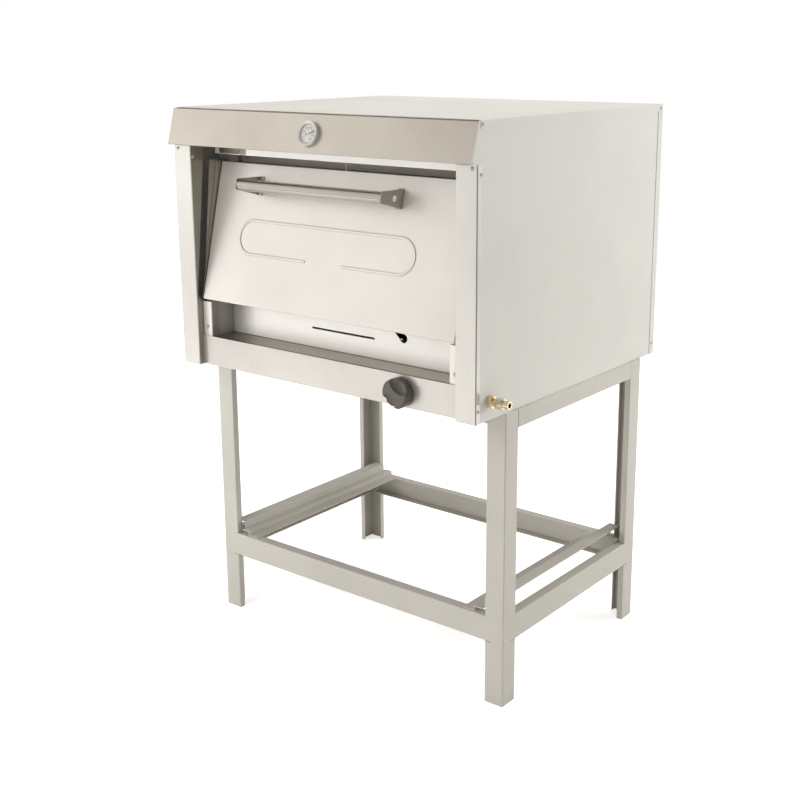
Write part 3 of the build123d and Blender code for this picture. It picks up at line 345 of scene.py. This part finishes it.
# Painted light and shade: the burner cover steel is near-white and hardly metallic so that it stays
# bright in the door's shade, and its left end carries painted shade.
LIT_COVER_STEEL = brushed_steel("lit_cover_steel", (0.90, 0.87, 0.82), (0.95, 0.92, 0.87), metallic=0.15,
                            painted_shade=(cover_corner_shade, RECESS_SHADE))
JAMB_STEEL = brushed_steel("jamb_steel", (0.74, 0.715, 0.67), (0.82, 0.79, 0.745), metallic=0.3,
                           painted_shade=(jamb_wall_shade, RECESS_SHADE))
HANDLE_STEEL = brushed_steel("handle_steel", (0.46, 0.43, 0.385), (0.56, 0.525, 0.47), LEVEL,
                             (0.20, 0.28), 0.95)
BRACKET_STEEL = brushed_steel("bracket_steel", (0.36, 0.335, 0.295), (0.46, 0.43, 0.38), UPRIGHT,
                              (0.28, 0.36), 0.9)
# Painted shade: the trough is darkened along its front and back edges and over its left part.
TRAY_STEEL = brushed_steel("tray_steel", (0.34, 0.31, 0.27), (0.46, 0.42, 0.37), LEVEL, metallic=0.8,
                           painted_shade=(tray_shade_lines, (0.05, 0.042, 0.035)))
INNER_STEEL = brushed_steel("inner_steel", (0.36, 0.33, 0.28), (0.46, 0.42, 0.36), metallic=0.85)
CHEEK_STEEL = brushed_steel("cheek_steel", (0.27, 0.245, 0.21), (0.38, 0.345, 0.30), metallic=0.85)
SIDE_PAINT = painted("side_paint", (0.595, 0.585, 0.545), (0.645, 0.635, 0.59))
STAND_PAINT = painted("stand_paint", (0.475, 0.46, 0.41), (0.54, 0.52, 0.47))
BRASS = simple_metal("brass", (0.74, 0.62, 0.40), (0.90, 0.80, 0.60), (0.12, 0.2))
ZINC = simple_metal("zinc_plate", (0.55, 0.55, 0.53), (0.72, 0.72, 0.70))
CLAY = fired_clay()
WOOL = wool()
PLASTIC = moulded_plastic()
GLASS = clear_glass()
DIAL_WHITE = painted("dial_white", (0.54, 0.53, 0.48), (0.62, 0.605, 0.555), (0.5, 0.6))
CAP_WHITE = painted("cap_white", (0.86, 0.85, 0.81), (0.92, 0.91, 0.87), (0.3, 0.4))
# Painted shade: the bezel's creases are darkened by the crease shading.
BEZEL_METAL = brushed_steel("bezel_metal", (0.60, 0.565, 0.51), (0.69, 0.655, 0.60), LEVEL,
                            metallic=0.45, crease=(0.003, 0.35))
NEEDLE_BLACK = painted("needle_black", (0.015, 0.015, 0.015), (0.03, 0.03, 0.03))
INK = painted("dial_ink", (0.10, 0.10, 0.095), (0.15, 0.15, 0.14), (0.5, 0.6))

# Start of a node's name and its material; the last match counts, and the rest is INNER_STEEL.
STARTS = [
    ("leg_", STAND_PAINT), ("top_rail", STAND_PAINT), ("lower_rail", STAND_PAINT),
    ("tray_runner", STAND_PAINT), ("side_panel", SIDE_PAINT), ("top_cover", SIDE_PAINT),
    ("back_panel", SIDE_PAINT), ("front_post", POST_STEEL), ("hood_fascia", HOOD_STEEL),
    ("jamb_", CHEEK_STEEL), ("front_header", LIT_HEADER_STEEL), ("control_panel", STEEL),
    ("lower_jamb", JAMB_STEEL), ("burner_cover", LIT_COVER_STEEL), ("ledge_tray", TRAY_STEEL),
    ("door_panel", DOOR_STEEL), ("handle_tube", HANDLE_STEEL), ("handle_bracket", BRACKET_STEEL),
    ("thermometer_case", BEZEL_METAL), ("thermometer_dial", DIAL_WHITE),
    ("thermometer_glass", GLASS), ("thermometer_needle", NEEDLE_BLACK),
    ("thermometer_stem", ZINC), ("gas_valve", BRASS), ("gas_inlet", BRASS), ("gas_pipe", ZINC),
    ("valve_stem", ZINC), ("case_screws", ZINC), ("door_screws", ZINC), ("hinge_pins", ZINC),
    ("knob", PLASTIC), ("deck_stones", CLAY), ("insulation", WOOL), ("door_insulation", WOOL),
]


def paint_nodes():
    for name, node in NODES.items():
        material = INNER_STEEL
        for start, choice in STARTS:
            if name.startswith(start):
                material = choice
        node.data.materials.clear()
        node.data.materials.append(material)


# ---------------------------------------------------------------- dial printing
DIAL_LEAN = math.atan2(22.0, 80.0)      # the hood leans back 22 mm over a rise of 80 mm
DIAL_HALF_THICKNESS = 0.0004
DIAL_ZERO = 210.0               # degrees from level to the mark at 0
TICK_STEP = 9.0
TICK_COUNT = 31
TICKS_PER_NUMBER = 5
NUMBER_STEP = 50
NUMBER_RING = 0.0128
NUMBER_SIZE = 0.0062
NUMBER_BOLDNESS = 0.00012
NUMBER_HALF_THICKNESS = 0.00004
TICK_RING = 0.0186
TICK_THICKNESS = 0.00008
LONG_TICK = (0.0022, 0.0006)    # length and width
SHORT_TICK = (0.0012, 0.0003)
INK_LIFT = 0.00005
CAP_RADIUS = 0.0021
CAP_FLATNESS = 0.5
CAP_LIFT = 0.0019               # height of the cap's middle above the dial's face
KEY_BASE = 1000                 # more than the corners of the cap


def join_meshes(name, meshes, material):
    """One object from several (mesh, matrix) pairs; the source meshes are thrown away."""
    whole = bmesh.new()
    for mesh, matrix in meshes:
        mesh.transform(matrix)
        whole.from_mesh(mesh)
        bpy.data.meshes.remove(mesh)
    data = bpy.data.meshes.new(name)
    whole.to_mesh(data)
    whole.free()
    piece = bpy.data.objects.new(name, data)
    bpy.context.scene.collection.objects.link(piece)
    data.materials.append(material)
    return piece


def dial_matrix():
    """Frame on the dial's face: x to the right, y up the slope, z out of the face."""
    low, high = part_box("thermometer_dial")
    middle = (low + high) / 2
    turn = Matrix.Rotation(math.radians(90) - DIAL_LEAN, 4, "X")
    lift = Matrix.Translation((0, 0, DIAL_HALF_THICKNESS + INK_LIFT))
    return Matrix.Translation(middle) @ turn @ lift


def letter_mesh(text):
    curve = bpy.data.curves.new("number", "FONT")
    curve.body = text
    curve.size = NUMBER_SIZE
    curve.align_x = "CENTER"
    curve.align_y = "CENTER"
    curve.offset = NUMBER_BOLDNESS
    curve.extrude = NUMBER_HALF_THICKNESS
    holder = bpy.data.objects.new("number", curve)
    bpy.context.scene.collection.objects.link(holder)
    bpy.context.view_layer.update()
    mesh = bpy.data.meshes.new_from_object(holder)
    bpy.data.objects.remove(holder)
    bpy.data.curves.remove(curve)
    return mesh


def bar_mesh(length, width, thickness):
    mesh = bpy.data.meshes.new("bar")
    shape = bmesh.new()
    bmesh.ops.create_cube(shape, size=1.0)
    bmesh.ops.scale(shape, vec=(length, width, thickness), verts=shape.verts)
    shape.to_mesh(mesh)
    shape.free()
    return mesh


def add_dial_print():
    """Plain numbers and ticks round the dial."""
    face = dial_matrix()
    numbers = []
    ticks = []
    for step in range(TICK_COUNT):
        angle = math.radians(DIAL_ZERO - TICK_STEP * step)
        numbered = step % TICKS_PER_NUMBER == 0
        if numbered:
            text = str(NUMBER_STEP * (step // TICKS_PER_NUMBER))
            spot = (NUMBER_RING * math.cos(angle), NUMBER_RING * math.sin(angle), 0.0)
            numbers.append((letter_mesh(text), face @ Matrix.Translation(spot)))
        place = Matrix.Rotation(angle, 4, "Z") @ Matrix.Translation((TICK_RING, 0, 0))
        size = LONG_TICK if numbered else SHORT_TICK
        ticks.append((bar_mesh(*size, TICK_THICKNESS), face @ place))
    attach(join_meshes("dial_numbers", numbers, INK), "oven")
    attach(join_meshes("dial_ticks", ticks, INK), "oven")


def corner_key(face):
    """One number from the three lowest corners of a face."""
    key = 0
    for index in sorted(corner.index for corner in face.verts)[:3]:
        key = key * KEY_BASE + index
    return key


def add_needle_cap():
    """Small pale cap over the middle of the pointer."""
    cap = bmesh.new()
    bmesh.ops.create_uvsphere(cap, u_segments=24, v_segments=12, radius=CAP_RADIUS)
    bmesh.ops.scale(cap, vec=(1, 1, CAP_FLATNESS), verts=cap.verts)
    # The operator's own order of faces changes from run to run.
    cap.verts.index_update()
    cap.faces.sort(key=corner_key)
    data = bpy.data.meshes.new("needle_cap")
    cap.to_mesh(data)
    cap.free()
    data.shade_smooth()
    data.transform(dial_matrix() @ Matrix.Translation((0, 0, CAP_LIFT)))
    piece = bpy.data.objects.new("needle_cap", data)
    bpy.context.scene.collection.objects.link(piece)
    data.materials.append(CAP_WHITE)
    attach(piece, "needle")


# ---------------------------------------------------------------- stage, light and camera
FLOOR_REACH = 4.5
FLOOR_DROP = 0.0005             # the floor lies this far below the feet
FLOOR_GLOW = 0.6


def add_floor():
    """Pale square that the camera sees as white."""
    mesh = bpy.data.meshes.new("floor")
    reach = FLOOR_REACH
    corners = [(-reach, -reach, 0), (reach, -reach, 0), (reach, reach, 0), (-reach, reach, 0)]
    mesh.from_pydata(corners, [], [(0, 1, 2, 3)])
    floor = bpy.data.objects.new("floor", mesh)
    floor.location.z = -FLOOR_DROP
    bpy.context.scene.collection.objects.link(floor)
    material, tree, shader = new_material("floor_white")
    tone = noise(tree, object_coordinates(tree), 0.6, 2.0)
    tree.links.new(ramp(tree, tone, [(0.3, grey(0.80)), (0.7, grey(0.82))]),
                   shader.inputs["Base Color"])
    shader.inputs["Roughness"].default_value = 0.9
    shader.inputs["Specular IOR Level"].default_value = 0.0
    shader.inputs["Emission Color"].default_value = (1.0, 1.0, 1.0, 1.0)
    seen = add(tree, "ShaderNodeLightPath").outputs["Is Camera Ray"]
    tree.links.new(both(tree, seen, FLOOR_GLOW), shader.inputs["Emission Strength"])
    floor.data.materials.append(material)


# Colours of the sky from straight down, at 0, to straight up, at 1.
SKY = [(0.0, grey(0.80)), (0.42, grey(0.90)), (0.55, (0.98, 0.97, 0.95)), (0.655, (0.90, 0.875, 0.84)),
       (0.725, (0.68, 0.62, 0.55)), (0.86, (0.52, 0.49, 0.46)), (1.0, (0.36, 0.35, 0.34))]
SKY_STRENGTH = 0.70
WINDOW_SIDE = (-0.85, -0.50, 0.0)
WINDOW_EDGES = (0.92, 0.995)    # cosines of the angle from its middle, where it begins and is full
WINDOW_STRENGTH = 0.88
BACK_SIDE = (0.45, 0.88, 0.0)
BACK_EDGES = (0.8, 1.0)
BACK_STRENGTH = 0.35


def level_direction(tree, vector):
    """The compass direction of a vector, without its height."""
    flat = add(tree, "ShaderNodeVectorMath", operation="MULTIPLY")
    tree.links.new(vector, flat.inputs[0])
    flat.inputs[1].default_value = (1.0, 1.0, 0.0)
    unit = add(tree, "ShaderNodeVectorMath", operation="NORMALIZE")
    tree.links.new(flat.outputs[0], unit.inputs[0])
    return unit.outputs[0]


def towards(tree, direction, vector, edges):
    """0 to 1 as a compass direction turns towards the given one."""
    node = add(tree, "ShaderNodeVectorMath", operation="DOT_PRODUCT")
    tree.links.new(vector, node.inputs[0])
    node.inputs[1].default_value = Vector(direction).normalized()
    return spread(tree, node.outputs["Value"], 0.0, 1.0, edges)


def add_world():
    """Studio sky: bright at the horizon, dim overhead, brighter to the front left and behind."""
    world = bpy.data.worlds.new("studio")
    bpy.context.scene.world = world
    world.use_nodes = True
    tree = world.node_tree
    direction = add(tree, "ShaderNodeTexCoord").outputs["Generated"]
    split = add(tree, "ShaderNodeSeparateXYZ")
    tree.links.new(direction, split.inputs[0])
    sky = ramp(tree, spread(tree, split.outputs[2], 0.0, 1.0, (-1.0, 1.0)), SKY)
    compass = level_direction(tree, direction)
    window = both(tree, towards(tree, WINDOW_SIDE, compass, WINDOW_EDGES), WINDOW_STRENGTH)
    back = both(tree, towards(tree, BACK_SIDE, compass, BACK_EDGES), BACK_STRENGTH)
    strength = math_node(tree, "ADD", math_node(tree, "ADD", window, back), SKY_STRENGTH)
    studio = tree.nodes["Background"]
    tree.links.new(sky, studio.inputs["Color"])
    tree.links.new(strength, studio.inputs["Strength"])
    white = add(tree, "ShaderNodeBackground", Color=(1.0, 1.0, 1.0, 1.0), Strength=1.0)
    switch = add(tree, "ShaderNodeMixShader")
    tree.links.new(add(tree, "ShaderNodeLightPath").outputs["Is Camera Ray"], switch.inputs[0])
    tree.links.new(studio.outputs[0], switch.inputs[1])
    tree.links.new(white.outputs[0], switch.inputs[2])
    tree.links.new(switch.outputs[0], tree.nodes["World Output"].inputs["Surface"])
    bpy.context.scene.view_settings.view_transform = "Standard"


# name, place, width of its square, watts, and the point it faces
SOFTBOXES = [
    ("key", (-0.5, -3.3, 2.4), 1.6, 29.0, (0.0, -0.2, 0.9)),
    ("low_front", (-1.9, -2.5, 0.5), 1.3, 40.0, (0.1, -0.3, 0.80)),
    ("overhead", (0.0, 0.6, 4.0), 3.0, 85.0, (0.0, 0.0, 1.0)),
    ("fill_right", (2.1, 2.2, 1.2), 1.2, 46.0, (0.4, 0.6, 0.95)),
]


def add_softbox(name, place, size, power, target):
    """Square light that polished faces don't mirror."""
    data = bpy.data.lights.new(name, "AREA")
    data.size = size
    data.energy = power
    light = bpy.data.objects.new(name, data)
    light.location = place
    light.visible_glossy = False
    light.rotation_euler = (Vector(target) - Vector(place)).to_track_quat("-Z", "Y").to_euler()
    bpy.context.scene.collection.objects.link(light)


# The camera's place in metres: x from the cabinet's middle, y from the posts' front face,
# and z from the floor.
CAMERA_PLACE = (1.775, -1.913, 1.404)
CAMERA_YAW = 37.87              # this and the next two in degrees
CAMERA_PITCH = 13.61
CAMERA_ROLL = -0.20
CAMERA_LENS = 55.6
CAMERA_SHIFT = (-0.0255, -0.073)


def add_camera():
    right, ahead, up = CAMERA_PLACE
    data = bpy.data.cameras.new("camera")
    data.lens = CAMERA_LENS
    data.shift_x, data.shift_y = CAMERA_SHIFT
    camera = bpy.data.objects.new("camera", data)
    camera.location = (MIDDLE + right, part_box("front_post_right")[0].y + ahead, up)
    turn = Euler((math.radians(90 - CAMERA_PITCH), 0, math.radians(CAMERA_YAW))).to_matrix()
    roll = Euler((0, 0, math.radians(CAMERA_ROLL))).to_matrix()
    camera.rotation_euler = (turn @ roll).to_euler()
    bpy.context.scene.collection.objects.link(camera)
    bpy.context.scene.camera = camera


paint_nodes()
add_dial_print()
add_needle_cap()
add_floor()
add_world()
for softbox in SOFTBOXES:
    add_softbox(*softbox)
add_camera()
